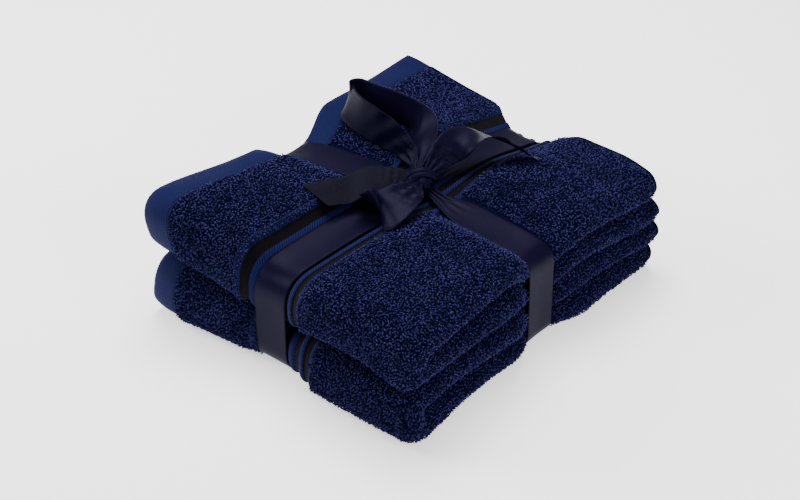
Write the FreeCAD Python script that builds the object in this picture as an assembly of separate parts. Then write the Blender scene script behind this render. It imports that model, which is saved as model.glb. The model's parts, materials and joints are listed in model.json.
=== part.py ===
import FreeCAD, Part
import math
import os

# A gift set of two bath towels.  Each towel is folded twice along its length and
# once across its width, the two are stacked, and one satin ribbon is wrapped once
# each way round the stack and tied in a bow with two loops and two free ends.
#
# Millimetres.  +Z is up.  The origin is the middle of the footprint, on the surface
# that the stack stands on.  +X points at the side that shows the double folds, -X at
# the hemmed ends, -Y at the round fold across the width and +Y at the open side edges.

# ---- driving dimensions -------------------------------------------------------------
FOLDED_LENGTH = 318.0        # X, a quarter of the towel's woven length
FOLDED_WIDTH = 378.0         # Y, half of the towel's woven width
TOWEL_HEIGHT = 60.8          # Z, one folded towel of eight layers
STACK_GAP = 0.4              # air between the two towels
LAYER_SLIT = 0.8             # air between the two halves of one folded towel

DOUBLE_FOLD_ROUNDING = 0.43  # rounding of the +X folds, as a share of four layers' height
HEM_SIDE_RADIUS = 6.0        # rounding of the stacked hems on the -X side
OPEN_EDGE_RADIUS = 4.0       # rounding of the open side edges on the +Y side
INNER_FOLD_RADIUS = 1.0      # rounding of the layers that meet at the slit
OPEN_EDGE_DEPTH = 12.0       # how far in from the +Y side the rounded edges are cut

HEM_BAND = 26.0              # width of the flat-woven hem band, from the -X side
SIDE_HEM = 9.0               # distance of the side-hem stitching from the +Y side
THREAD = 0.5                 # diameter of the sewing thread
SEAM_SINK = 0.3              # depth of the thread's top below the cloth's surface
SEAM_CLEARANCE = 0.25        # air round a line of stitching

RIBBON_WIDTH = 38.0
RIBBON_THICKNESS = 0.6
RIBBON_CLEARANCE = 0.4       # air between a wrap and the cloth, and between the wraps
PINCH = 7.0                  # how far a wrap pulls the cloth in at the top and sides
BASE_PINCH = 2.4             # how far the wraps are pressed in under the stack
WRAP_CORNER_RADIUS = 22.0
CROSSWISE_X = -8.0           # where the wrap along Y passes the middle of the stack
CROSSWISE_SKEW = -3.6        # degrees about Z
LENGTHWISE_Y = 4.0           # where the wrap along X passes the middle of the stack
LENGTHWISE_SKEW = 4.0

KNOT_X = 0.0
KNOT_Y = 12.0
KNOT_RADIUS = 16.0
KNOT_HEIGHT = 16.0
KNOT_FILLET = 5.0
BOW_RISE = 6.2               # height of the bow's hinges above the top of the stack
HINGE_OFFSET = 18.0          # distance of the bow's hinges from the knot's middle
ROOT_RADIUS = 4.5            # rolled end of a loop or tail, seated in the knot
ROOT_HALF_WIDTH = 4.5
ROOT_CLEARANCE = 0.4
BOW_CLEARANCE = 1.6          # air between a resting loop or tail and the towel's top

BACK_LOOP_HEADING = 164.5    # degrees from +X, seen from above
BACK_LOOP_REACH = 118.0
BACK_LOOP_HALF_GAP = 16.0
FRONT_LOOP_HEADING = 285.0
FRONT_LOOP_REACH = 66.0
FRONT_LOOP_HALF_GAP = 7.0
LEFT_TAIL_HEADING = 240.0
LEFT_TAIL_REACH = 98.0
RIGHT_TAIL_HEADING = 58.0
RIGHT_TAIL_REACH = 116.0
RIGHT_TAIL_RISE = 20.0
TAIL_END_SLANT = 12.0        # how much longer a tail is on one edge than on the other
BOW_THICKNESS = 0.8          # ribbon of the loops and tails, with its pleats
PLEAT_REACH = 34.0           # distance over which a loop or tail loses its pleats
PLEATED_SHARE = 0.78         # of the ribbon's width, reached where the pleats end
FULL_WIDTH_REACH = 51.0      # distance at which a flat loop or tail has its full width
UPRIGHT_WIDTH_REACH = 68.0   # the same for the loop that stands on edge

# ---- sizes worked out from them -------------------------------------------------------
HALF_X = FOLDED_LENGTH / 2
HALF_Y = FOLDED_WIDTH / 2
STACK_HEIGHT = 2 * TOWEL_HEIGHT + STACK_GAP
HALF_LAYER = (TOWEL_HEIGHT - LAYER_SLIT) / 2
DOUBLE_FOLD_RADIUS = DOUBLE_FOLD_ROUNDING * HALF_LAYER
HINGE_Z = STACK_HEIGHT + BOW_RISE
BOW_FLOOR = BOW_CLEARANCE - BOW_RISE      # lowest height of a loop or tail, from its hinge
TOWEL_BASES = {"lower": 0.0, "upper": TOWEL_HEIGHT + STACK_GAP}
FAR = 4 * (FOLDED_LENGTH + FOLDED_WIDTH)  # longer than anything here

X_AXIS = FreeCAD.Vector(1, 0, 0)
Y_AXIS = FreeCAD.Vector(0, 1, 0)
Z_AXIS = FreeCAD.Vector(0, 0, 1)
ORIGIN = FreeCAD.Vector(0, 0, 0)


def vector(x, y, z):
    return FreeCAD.Vector(x, y, z)


def centred_box(size_x, size_y, low_z, high_z):
    return Part.makeBox(size_x, size_y, high_z - low_z, vector(-size_x / 2, -size_y / 2, low_z))


def face_from_points(points):
    return Part.Face(Part.makePolygon(points + [points[0]]))


def rounded_outline(corners, radii, place):
    """A closed face with straight sides and one rounded corner at each point.

    corners are (a, b) pairs in order round the outline, radii are the corner radii,
    and place turns (a, b) into a point in space.
    """
    count = len(corners)
    edges = []
    joins = []
    for index in range(count):
        corner = vector(*corners[index], 0)
        before = (vector(*corners[index - 1], 0) - corner).normalize()
        after = (vector(*corners[(index + 1) % count], 0) - corner).normalize()
        half_turn = before.getAngle(after) / 2
        reach = radii[index] / math.tan(half_turn)
        bisector = (before + after).normalize()
        depth = radii[index] / math.sin(half_turn) - radii[index]
        joins.append((corner + before * reach, corner + bisector * depth, corner + after * reach))
    for index in range(count):
        start, middle, end = joins[index]
        following = joins[(index + 1) % count][0]
        edges.append(Part.Arc(place(start), place(middle), place(end)).toShape())
        if (following - end).Length > 1e-6:
            edges.append(Part.LineSegment(place(end), place(following)).toShape())
    return Part.Face(Part.Wire(edges))


def in_xz_plane(y):
    return lambda point: vector(point.x, y, point.y)


def in_yz_plane(x):
    return lambda point: vector(x, point.x, point.y)


def in_xy_plane(z):
    return lambda point: vector(point.x, point.y, z)


# ---- towels ---------------------------------------------------------------------------
def layer_bundle_outline(y, low_z, high_z):
    """Section, across Y, of the upper four layers of a folded towel."""
    corners = [(-HALF_X, low_z), (HALF_X, low_z), (HALF_X, high_z), (-HALF_X, high_z)]
    radii = [INNER_FOLD_RADIUS, DOUBLE_FOLD_RADIUS, DOUBLE_FOLD_RADIUS, HEM_SIDE_RADIUS]
    return rounded_outline(corners, radii, in_xz_plane(y))


def open_edge_cutter(low_z, high_z):
    """What is cleared away to round the +Y edges of four layers."""
    block = Part.makeBox(FAR, OPEN_EDGE_RADIUS, high_z - low_z,
                         vector(-FAR / 2, HALF_Y - OPEN_EDGE_RADIUS, low_z))
    start_y = HALF_Y - OPEN_EDGE_DEPTH
    corners = [(start_y, low_z), (HALF_Y, low_z), (HALF_Y, high_z), (start_y, high_z)]
    radii = [INNER_FOLD_RADIUS, OPEN_EDGE_RADIUS, OPEN_EDGE_RADIUS, INNER_FOLD_RADIUS]
    rounded = rounded_outline(corners, radii, in_yz_plane(-FAR / 2)).extrude(X_AXIS * FAR)
    return block.cut(rounded)


def folded_towel(base_z):
    """One towel: four layers above, four below, joined by the round fold at -Y."""
    middle_z = base_z + TOWEL_HEIGHT / 2
    low_z = middle_z + LAYER_SLIT / 2
    high_z = base_z + TOWEL_HEIGHT
    fold_y = -HALF_Y + TOWEL_HEIGHT / 2
    outline = layer_bundle_outline(fold_y, low_z, high_z)
    upper = outline.extrude(Y_AXIS * (HALF_Y - fold_y)).cut(open_edge_cutter(low_z, high_z))
    bend = outline.revolve(vector(0, fold_y, middle_z), X_AXIS, 180)
    lower = upper.mirror(vector(0, 0, middle_z), Z_AXIS)
    return upper.fuse([bend, lower]).removeSplitter()


def towel_side_outline(x, base_z, inset):
    """Outline, across X, of a folded towel, drawn in by inset all round."""
    radius = TOWEL_HEIGHT / 2 - inset
    low_z = base_z + inset
    high_z = base_z + TOWEL_HEIGHT - inset
    fold_y = -HALF_Y + TOWEL_HEIGHT / 2
    end_y = HALF_Y + SIDE_HEM
    middle_z = base_z + TOWEL_HEIGHT / 2
    edges = [
        Part.LineSegment(vector(x, end_y, low_z), vector(x, fold_y, low_z)).toShape(),
        Part.Arc(vector(x, fold_y, low_z), vector(x, fold_y - radius, middle_z),
                 vector(x, fold_y, high_z)).toShape(),
        Part.LineSegment(vector(x, fold_y, high_z), vector(x, end_y, high_z)).toShape(),
        Part.LineSegment(vector(x, end_y, high_z), vector(x, end_y, low_z)).toShape(),
    ]
    return Part.Face(Part.Wire(edges))


def end_hem_seam(base_z, clearance):
    """Stitching across the hem band, over the top, round the fold and underneath.

    With clearance it is the space that the stitching is sunk into.
    """
    width = THREAD + 2 * clearance
    start_x = -HALF_X + HEM_BAND - width / 2
    top_inset = SEAM_SINK if clearance == 0 else -SEAM_CLEARANCE
    outer = towel_side_outline(start_x, base_z, top_inset)
    inner = towel_side_outline(start_x, base_z, SEAM_SINK + THREAD + clearance)
    seam = outer.cut(inner).extrude(X_AXIS * width)
    stop = HALF_Y - OPEN_EDGE_RADIUS + clearance
    return seam.common(Part.makeBox(FAR, stop + FAR, FAR, vector(-FAR / 2, -FAR, base_z - FAR / 2)))


def side_hem_seam(base_z, clearance):
    """Two straight lines of stitching along the open edges, above and underneath."""
    width = THREAD + 2 * clearance
    start_x = -HALF_X + HEM_BAND + 2 * SEAM_CLEARANCE + THREAD - clearance
    length = HALF_X - DOUBLE_FOLD_RADIUS + clearance - start_x
    top_inset = SEAM_SINK if clearance == 0 else -SEAM_CLEARANCE
    depth = SEAM_SINK + THREAD + clearance - top_inset
    start_y = HALF_Y - SIDE_HEM - width / 2
    above = Part.makeBox(length, width, depth,
                         vector(start_x, start_y, base_z + TOWEL_HEIGHT - top_inset - depth))
    below = Part.makeBox(length, width, depth, vector(start_x, start_y, base_z + top_inset))
    return Part.makeCompound([above, below])


# ---- ribbon round the stack -------------------------------------------------------------
def wrap_outline(half_span, rise, inset, place):
    """Outline that a wrap follows; a larger inset is nearer the middle of the stack."""
    corners = [
        (-half_span + PINCH + inset, BASE_PINCH - rise + inset),
        (half_span - PINCH - inset, BASE_PINCH - rise + inset),
        (half_span - PINCH - inset, STACK_HEIGHT - PINCH + rise - inset),
        (-half_span + PINCH + inset, STACK_HEIGHT - PINCH + rise - inset),
    ]
    radius = WRAP_CORNER_RADIUS - inset
    return rounded_outline(corners, [radius] * len(corners), place)


def wrap_band(half_span, rise, along_x, width, outer_inset, inner_inset):
    """A closed band of the given width, straight along X or Y, before it is turned."""
    if along_x:
        place = in_xz_plane(-width / 2)
        direction = Y_AXIS
    else:
        place = in_yz_plane(-width / 2)
        direction = X_AXIS
    inner = wrap_outline(half_span, rise, inner_inset, place).extrude(direction * width)
    if outer_inset is None:
        side = 2 * half_span + FAR
        slab = centred_box(side, width, -FAR / 2, FAR / 2) if along_x else \
            centred_box(width, side, -FAR / 2, FAR / 2)
        return slab.cut(inner)
    outer = wrap_outline(half_span, rise, outer_inset, place).extrude(direction * width)
    return outer.cut(inner)


def turned(shape, skew, x, y):
    shape.rotate(ORIGIN, Z_AXIS, skew)
    shape.translate(vector(x, y, 0))
    return shape


def wrap_pair(width_allowance, outer_inset, inner_inset):
    """The crosswise and the lengthwise band, the lengthwise one over the other."""
    width = RIBBON_WIDTH + 2 * width_allowance
    crosswise = wrap_band(HALF_Y, 0.0, False, width, outer_inset, inner_inset)
    over = RIBBON_THICKNESS + RIBBON_CLEARANCE
    lengthwise = wrap_band(HALF_X, over, True, width, outer_inset, inner_inset)
    return (turned(crosswise, CROSSWISE_SKEW, CROSSWISE_X, 0),
            turned(lengthwise, LENGTHWISE_SKEW, 0, LENGTHWISE_Y))


# ---- knot and bow -------------------------------------------------------------------------
def hinge_place(heading):
    angle = math.radians(heading)
    return vector(KNOT_X + HINGE_OFFSET * math.cos(angle), KNOT_Y + HINGE_OFFSET * math.sin(angle), HINGE_Z)


def headed(shape, heading):
    """Turn a piece built along +X from its hinge to its heading beside the knot."""
    shape.rotate(ORIGIN, Z_AXIS, heading)
    shape.translate(hinge_place(heading))
    return shape


def root_roll(radius, half_width):
    return Part.makeCylinder(radius, 2 * half_width, vector(0, -half_width, 0), Y_AXIS)


def knot():
    low_z = STACK_HEIGHT - PINCH + 2 * (RIBBON_THICKNESS + RIBBON_CLEARANCE)
    body = Part.makeCylinder(KNOT_RADIUS, KNOT_HEIGHT, vector(KNOT_X, KNOT_Y, low_z))
    rims = [edge for edge in body.Edges if isinstance(edge.Curve, Part.Circle)]
    body = body.makeFillet(KNOT_FILLET, rims)
    for heading in (BACK_LOOP_HEADING, FRONT_LOOP_HEADING, LEFT_TAIL_HEADING, RIGHT_TAIL_HEADING):
        seat = root_roll(ROOT_RADIUS + ROOT_CLEARANCE, FAR / 2)
        reach = Part.makeBox(FAR, FAR, 2 * (ROOT_RADIUS + ROOT_CLEARANCE),
                             vector(0, -FAR / 2, -ROOT_RADIUS - ROOT_CLEARANCE))
        body = body.cut(headed(seat.fuse(reach), heading))
    return body


def plan_taper(reach, slant):
    """Prism that opens from the pleated root to the ribbon's width, with a slanting end."""
    half = RIBBON_WIDTH / 2
    points = [
        (-ROOT_RADIUS, -ROOT_HALF_WIDTH),
        (ROOT_RADIUS, -ROOT_HALF_WIDTH),
        (PLEAT_REACH, -half * PLEATED_SHARE),
        (FULL_WIDTH_REACH, -half),
        (reach, -half),
        (reach - slant, half),
        (FULL_WIDTH_REACH, half),
        (PLEAT_REACH, half * PLEATED_SHARE),
        (ROOT_RADIUS, ROOT_HALF_WIDTH),
        (-ROOT_RADIUS, ROOT_HALF_WIDTH),
    ]
    return face_from_points([vector(x, y, -FAR) for x, y in points]).extrude(Z_AXIS * 2 * FAR)


def side_taper(reach, low_z, high_z):
    """Prism that opens upwards from the root to the width of a ribbon standing on edge."""
    root_half_height = ROOT_RADIUS / 2
    points = [
        (0, -root_half_height),
        (PLEAT_REACH, low_z),
        (reach + BOW_THICKNESS, low_z),
        (reach + BOW_THICKNESS, high_z),
        (UPRIGHT_WIDTH_REACH, high_z),
        (0, root_half_height),
    ]
    return face_from_points([vector(x, -FAR, z) for x, z in points]).extrude(Y_AXIS * 2 * FAR)


def loop_outline(reach, half_gap, end_rise, inset, place):
    """Drop-shaped outline: a small circle at the root, a large one at the far end."""
    small = ROOT_RADIUS / 2 + BOW_THICKNESS - inset
    large = half_gap - inset
    far = reach - half_gap
    length = math.hypot(far, end_rise)
    tilt = math.atan2(end_rise, far)
    spread = math.acos((small - large) / length)

    def on_circle(centre_a, centre_b, radius, angle):
        return place(vector(centre_a + radius * math.cos(angle), centre_b + radius * math.sin(angle), 0))

    upper_root = on_circle(0, 0, small, tilt + spread)
    lower_root = on_circle(0, 0, small, tilt - spread)
    upper_end = on_circle(far, end_rise, large, tilt + spread)
    lower_end = on_circle(far, end_rise, large, tilt - spread)
    edges = [
        Part.LineSegment(upper_root, upper_end).toShape(),
        Part.Arc(upper_end, on_circle(far, end_rise, large, tilt), lower_end).toShape(),
        Part.LineSegment(lower_end, lower_root).toShape(),
        Part.Arc(lower_root, on_circle(0, 0, small, tilt + math.pi), upper_root).toShape(),
    ]
    return Part.Face(Part.Wire(edges))


def back_loop():
    """The large loop, standing on the ribbon's edge."""
    high_z = BOW_FLOOR + RIBBON_WIDTH
    place = in_xy_plane(-FAR / 2)
    outer, inner = [
        loop_outline(BACK_LOOP_REACH, BACK_LOOP_HALF_GAP, 0.0, inset, place).extrude(Z_AXIS * FAR)
        for inset in (0.0, BOW_THICKNESS)]
    band = outer.cut(inner).common(side_taper(BACK_LOOP_REACH, BOW_FLOOR, high_z))
    return headed(band.fuse(root_roll(ROOT_RADIUS, ROOT_HALF_WIDTH)), BACK_LOOP_HEADING)


def front_loop():
    """The small loop, lying flat with its opening to the sides."""
    end_rise = BOW_FLOOR + FRONT_LOOP_HALF_GAP
    place = in_xz_plane(-FAR / 2)
    outer, inner = [
        loop_outline(FRONT_LOOP_REACH, FRONT_LOOP_HALF_GAP, end_rise, inset, place).extrude(Y_AXIS * FAR)
        for inset in (0.0, BOW_THICKNESS)]
    band = outer.cut(inner).common(plan_taper(FRONT_LOOP_REACH + BOW_THICKNESS, 0.0))
    return headed(band.fuse(root_roll(ROOT_RADIUS, ROOT_HALF_WIDTH)), FRONT_LOOP_HEADING)


def left_tail():
    """The tail that lies flat on the upper towel."""
    points = [
        (0, BOW_THICKNESS),
        (PLEAT_REACH, BOW_FLOOR + BOW_THICKNESS),
        (LEFT_TAIL_REACH, BOW_FLOOR + BOW_THICKNESS),
        (LEFT_TAIL_REACH, BOW_FLOOR),
        (PLEAT_REACH - BOW_THICKNESS, BOW_FLOOR),
        (0, -BOW_THICKNESS),
    ]
    strip = face_from_points([vector(x, -FAR / 2, z) for x, z in points]).extrude(Y_AXIS * FAR)
    strip = strip.common(plan_taper(LEFT_TAIL_REACH, TAIL_END_SLANT))
    return headed(strip.fuse(root_roll(ROOT_RADIUS, ROOT_HALF_WIDTH)), LEFT_TAIL_HEADING)


def right_tail():
    """The tail that arches away from the knot and comes down on the upper towel."""
    tip_z = BOW_FLOOR
    crest_x = RIGHT_TAIL_REACH / 2
    under = Part.Arc(vector(0, -FAR / 2, 0), vector(crest_x, -FAR / 2, RIGHT_TAIL_RISE),
                     vector(RIGHT_TAIL_REACH, -FAR / 2, tip_z)).toShape()
    over = Part.Arc(vector(0, -FAR / 2, BOW_THICKNESS),
                    vector(crest_x, -FAR / 2, RIGHT_TAIL_RISE + BOW_THICKNESS),
                    vector(RIGHT_TAIL_REACH, -FAR / 2, tip_z + BOW_THICKNESS)).toShape()
    ends = [
        Part.LineSegment(vector(0, -FAR / 2, 0), vector(0, -FAR / 2, BOW_THICKNESS)).toShape(),
        Part.LineSegment(vector(RIGHT_TAIL_REACH, -FAR / 2, tip_z),
                         vector(RIGHT_TAIL_REACH, -FAR / 2, tip_z + BOW_THICKNESS)).toShape(),
    ]
    outline = Part.Face(Part.Wire([under, ends[1], over, ends[0]]))
    strip = outline.extrude(Y_AXIS * FAR).common(plan_taper(RIGHT_TAIL_REACH, -TAIL_END_SLANT))
    return headed(strip.fuse(root_roll(ROOT_RADIUS, ROOT_HALF_WIDTH)), RIGHT_TAIL_HEADING)


def save(name, shape):
    solids = shape.Solids
    body = solids[0] if len(solids) == 1 else Part.makeCompound(solids)
    body.exportStep("parts/" + name + ".step")
    print(name, "solids", len(solids), "volume cm3", round(body.Volume / 1000, 2), body.isValid())


def main():
    os.makedirs("parts", exist_ok=True)
    channels = wrap_pair(RIBBON_CLEARANCE, None, RIBBON_THICKNESS + RIBBON_CLEARANCE)
    for name, base_z in TOWEL_BASES.items():
        towel = folded_towel(base_z)
        for groove in (end_hem_seam(base_z, SEAM_CLEARANCE), side_hem_seam(base_z, SEAM_CLEARANCE)):
            towel = towel.cut(groove)
        save(name + "_towel", towel.cut(channels[0]).cut(channels[1]))
        seams = {"end_hem": end_hem_seam(base_z, 0), "side_hem": side_hem_seam(base_z, 0)}
        for seam_name, seam in seams.items():
            save(name + "_" + seam_name + "_stitching", seam.cut(channels[0]).cut(channels[1]))
    crosswise, lengthwise = wrap_pair(0.0, 0.0, RIBBON_THICKNESS)
    save("crosswise_wrap", crosswise)
    save("lengthwise_wrap", lengthwise)
    save("bow_knot", knot())
    save("back_loop", back_loop())
    save("front_loop", front_loop())
    save("left_tail", left_tail())
    save("right_tail", right_tail())


main()
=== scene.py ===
"""Looks of a tied gift set of two folded terry bath towels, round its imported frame."""
import json
import logging
import math
from dataclasses import dataclass
from enum import Enum
from typing import Callable, Iterable, Sequence

import bmesh
import bpy
import numpy as np
from mathutils import Matrix, Vector


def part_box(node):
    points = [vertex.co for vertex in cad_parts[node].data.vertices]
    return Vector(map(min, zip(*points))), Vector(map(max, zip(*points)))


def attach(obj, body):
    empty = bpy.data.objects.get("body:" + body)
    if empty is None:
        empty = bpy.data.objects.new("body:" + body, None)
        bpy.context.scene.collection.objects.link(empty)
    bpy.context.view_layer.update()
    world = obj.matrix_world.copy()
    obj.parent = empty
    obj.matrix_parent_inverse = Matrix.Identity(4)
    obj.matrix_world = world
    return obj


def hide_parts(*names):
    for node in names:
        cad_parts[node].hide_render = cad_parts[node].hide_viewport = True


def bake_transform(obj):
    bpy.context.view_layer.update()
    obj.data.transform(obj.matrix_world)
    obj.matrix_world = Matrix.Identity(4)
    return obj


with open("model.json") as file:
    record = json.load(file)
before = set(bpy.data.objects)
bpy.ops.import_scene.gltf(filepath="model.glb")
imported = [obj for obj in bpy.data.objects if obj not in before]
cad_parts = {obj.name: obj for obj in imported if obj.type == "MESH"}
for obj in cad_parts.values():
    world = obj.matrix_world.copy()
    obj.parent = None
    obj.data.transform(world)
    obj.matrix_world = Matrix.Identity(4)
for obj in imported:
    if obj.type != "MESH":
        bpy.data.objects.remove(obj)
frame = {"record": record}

LOG = logging.getLogger("towel_set")
MM = 0.001
RIBBON_WIDTH = 38.0       # millimetres
RIBBON_THICKNESS = 0.45
PILE_SPACING = 0.00195    # metres, the least distance between loops
STITCH_LENGTH = 0.0034
ROOT = "tied_stack"       # the body that holds the towels, the wraps and the knot
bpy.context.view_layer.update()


# ---- small tools ------------------------------------------------------------------------
def smooth_step(low: float, high: float | np.ndarray, value: np.ndarray) -> np.ndarray:
    """Rise smoothly from 0 at low to 1 at high.

    Args:
        low: Where the rise starts.
        high: Where the rise ends.
        value: The values to grade.

    Returns:
        The graded values, from 0 to 1.
    """
    share = np.clip((np.asarray(value, dtype=float) - low) / (high - low), 0.0, 1.0)
    return share * share * (3.0 - 2.0 * share)


def unit(vectors: np.ndarray) -> np.ndarray:
    """Scale each row to length one."""
    lengths = np.linalg.norm(vectors, axis=-1, keepdims=True)
    return vectors / np.maximum(lengths, 1e-9)


def travelled_along(line: np.ndarray) -> np.ndarray:
    """Distance along a line from its first point to each of its points."""
    steps = np.linalg.norm(np.diff(line, axis=0), axis=1)
    return np.concatenate([[0.0], np.cumsum(steps)])


def evenly(line: np.ndarray, count: int, closed: bool = False) -> np.ndarray:
    """Spread points evenly along a line, measured in its first three columns.

    Args:
        line: The line's points, one a row.
        count: How many points to return.
        closed: Whether the line goes back to its first point.

    Returns:
        An array of count rows.
    """
    if closed:
        line = np.vstack([line, line[:1]])
    travelled = travelled_along(line[:, :3])
    wanted = np.linspace(0.0, travelled[-1], count, endpoint=not closed)
    return np.column_stack([np.interp(wanted, travelled, column) for column in line.T])


def spline(points: Sequence[Sequence[float]], count: int) -> np.ndarray:
    """Draw a smooth line through a few points, evenly spaced along its length.

    Args:
        points: The points to pass through; any number of columns.
        count: How many points to return.

    Returns:
        An array of count rows.
    """
    knots = np.asarray(points, dtype=float)
    padded = np.vstack([2 * knots[0] - knots[1], knots, 2 * knots[-1] - knots[-2]])
    dense = []
    share = np.linspace(0.0, 1.0, 24, endpoint=False)[:, None]
    for index in range(1, len(padded) - 2):
        before, start, end, after = padded[index - 1:index + 3]
        dense.append(0.5 * (2 * start + (end - before) * share
                            + (2 * before - 5 * start + 4 * end - after) * share ** 2
                            + (3 * start - before - 3 * end + after) * share ** 3))
    return evenly(np.vstack(dense + [knots[-1:]]), count)


def smoothed(values: np.ndarray, rounds: int, closed: bool) -> np.ndarray:
    """Average each row with its neighbours a few times."""
    result = values.copy()
    for _ in range(rounds):
        before = np.roll(result, 1, axis=0)
        after = np.roll(result, -1, axis=0)
        if not closed:
            before[0] = result[0]
            after[-1] = result[-1]
        result = 0.25 * before + 0.5 * result + 0.25 * after
    return result


def convex_outline(points: np.ndarray) -> np.ndarray:
    """Find the tight outline round a set of flat points, anticlockwise.

    Args:
        points: Rows of two columns.

    Returns:
        The corner points of the outline.
    """
    ordered = points[np.lexsort((points[:, 1], points[:, 0]))]

    def chain(rows: Iterable[np.ndarray]) -> list:
        """Follow one half of the outline, without its last corner."""
        kept: list = []
        for row in rows:
            while len(kept) > 1:
                first = kept[-1] - kept[-2]
                second = row - kept[-1]
                if first[0] * second[1] - first[1] * second[0] > 0:
                    break
                kept.pop()
            kept.append(row)
        return kept[:-1]

    return np.array(chain(ordered) + chain(ordered[::-1]))


def in_scene(name: str, data: bpy.types.ID) -> bpy.types.Object:
    """Put an object with this data in the scene."""
    made = bpy.data.objects.new(name, data)
    bpy.context.scene.collection.objects.link(made)
    return made


def mesh_object(name: str, vertices: np.ndarray, faces: Sequence[Sequence[int]],
                materials: Sequence[bpy.types.Material], slots: np.ndarray | None = None,
                uvs: np.ndarray | None = None) -> bpy.types.Object:
    """Make a smooth-shaded object from millimetre points.

    Args:
        name: The object's name.
        vertices: Points in millimetres.
        faces: Corner indices of each face.
        materials: The materials of its slots.
        slots: The slot of each face, if it has several.
        uvs: One pair for each vertex, in metres of cloth.

    Returns:
        The new object, at the origin.
    """
    mesh = bpy.data.meshes.new(name)
    mesh.from_pydata((vertices * MM).tolist(), [], faces if isinstance(faces, list) else faces.tolist())
    for material in materials:
        mesh.materials.append(material)
    if slots is not None:
        mesh.polygons.foreach_set("material_index", np.asarray(slots, dtype=np.int32))
    if uvs is not None:
        layer = mesh.uv_layers.new(name="cloth")
        corners = np.empty(len(mesh.loops), dtype=np.int32)
        mesh.loops.foreach_get("vertex_index", corners)
        layer.data.foreach_set("uv", uvs[corners].astype(np.float32).ravel())
    mesh.polygons.foreach_set("use_smooth", np.ones(len(mesh.polygons), dtype=bool))
    mesh.update()
    return in_scene(name, mesh)


def points_of(piece: bpy.types.Object) -> np.ndarray:
    """Points of a piece, in metres."""
    places = np.empty(len(piece.data.vertices) * 3)
    piece.data.vertices.foreach_get("co", places)
    return places.reshape(-1, 3)


def turn_faces_outwards(piece: bpy.types.Object) -> None:
    """Make every face of a closed piece point away from its inside."""
    work = bmesh.new()
    work.from_mesh(piece.data)
    bmesh.ops.recalc_face_normals(work, faces=work.faces)
    work.to_mesh(piece.data)
    work.free()


def grid_faces(grid: np.ndarray) -> np.ndarray:
    """Four-cornered faces between the neighbours in a grid of point numbers."""
    corners = (grid[:-1, :-1], grid[1:, :-1], grid[1:, 1:], grid[:-1, 1:])
    return np.stack([corner.ravel() for corner in corners], axis=1)


def slab_faces(rows: int, columns: int, closed_rows: bool) -> tuple[np.ndarray, np.ndarray]:
    """Faces of a sheet with two sides: the first rows * columns points, then the second.

    Args:
        rows: Points along the sheet.
        columns: Points across the sheet.
        closed_rows: Whether the last row joins the first.

    Returns:
        The faces, and for each one 0 on the first side, 1 on the second and 2 on an edge.
    """
    total = rows * columns
    grid = np.arange(total).reshape(rows, columns)
    if closed_rows:
        grid = np.vstack([grid, grid[:1]])
    front = grid_faces(grid)
    back = front[:, ::-1] + total
    outline = [grid[:, 0], grid[::-1, -1]] + ([] if closed_rows else [grid[0, ::-1], grid[-1, :]])
    rim = np.vstack([np.stack([line[:-1] + total, line[1:] + total, line[1:], line[:-1]], axis=1)
                     for line in outline])
    sides = np.concatenate([np.zeros(len(front)), np.ones(len(back)), np.full(len(rim), 2)])
    return np.vstack([front, back, rim]), sides.astype(int)


# ---- finishes -----------------------------------------------------------------------------
class Board:
    """A short way to place and join the nodes of one tree."""

    def __init__(self, tree: bpy.types.NodeTree) -> None:
        """Work on this tree."""
        self.tree = tree

    def feed(self, node: bpy.types.Node, inputs: dict[str, object]) -> None:
        """Set or join sockets of a node, by name with _ for a space."""
        for key, value in inputs.items():
            socket = node.inputs[key.replace("_", " ")]
            if isinstance(value, bpy.types.NodeSocket):
                self.tree.links.new(value, socket)
            else:
                socket.default_value = value

    def node(self, kind: str, settings: dict | None = None, **inputs: object) -> bpy.types.Node:
        """Add a node.

        Args:
            kind: Blender's name for the node type.
            settings: Attributes to set on the node.
            **inputs: A value or another node's socket for each input, with _ for a space.

        Returns:
            The new node.
        """
        made = self.tree.nodes.new(kind)
        for key, value in (settings or {}).items():
            setattr(made, key, value)
        self.feed(made, inputs)
        return made


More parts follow.
